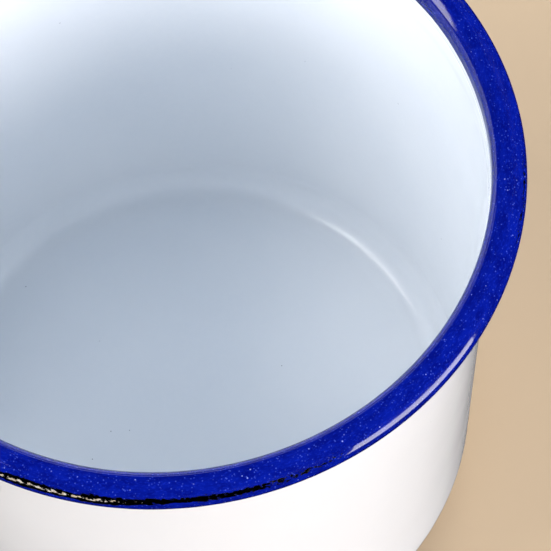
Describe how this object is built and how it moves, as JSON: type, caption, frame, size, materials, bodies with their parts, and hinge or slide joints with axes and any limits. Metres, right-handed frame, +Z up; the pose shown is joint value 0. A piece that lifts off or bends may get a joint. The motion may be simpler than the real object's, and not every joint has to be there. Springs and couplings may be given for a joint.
{
  "type": "milk pail",
  "caption": "Small enamelled steel milk pail with a wired rolled rim, welded ears and a wire bail that swings over the mouth and carries a turned wooden grip.",
  "frame": {"origin": "centre of the flat base, in the plane the pail stands on", "axes": "+Z up through the mouth; X along the line through both ears, about which the bail swings; the bail hangs on the +Y side"},
  "size_m": [0.1772, 0.1745, 0.1524],
  "materials": {
    "white_enamel": "glossy fired enamel",
    "blue_enamel": "glossy fired enamel, chipped along the top",
    "bright_steel": "drawn wire, lightly tarnished",
    "turned_beech": "turned, oiled and worn by hand"
  },
  "bodies": {
    "pail": {"pail_shell": "white_enamel", "rolled_rim": "blue_enamel", "rim_core_wire": "bright_steel", "right_ear": "white_enamel", "left_ear": "white_enamel"},
    "bail": {"bail_wire": "bright_steel"},
    "grip": {"bail_grip": "turned_beech"}
  },
  "joints": [
    {"name": "bail_swing", "type": "hinge", "parent": "pail", "child": "bail", "pos_m": [0, 0, 0.143], "axis": [1, 0, 0], "range_deg": [0, 258.5]},
    {"name": "grip_spin", "type": "hinge", "parent": "bail", "child": "grip", "pos_m": [0, 0.0836, 0.07462], "axis": [1, 0, 0], "continuous": true}
  ]
}
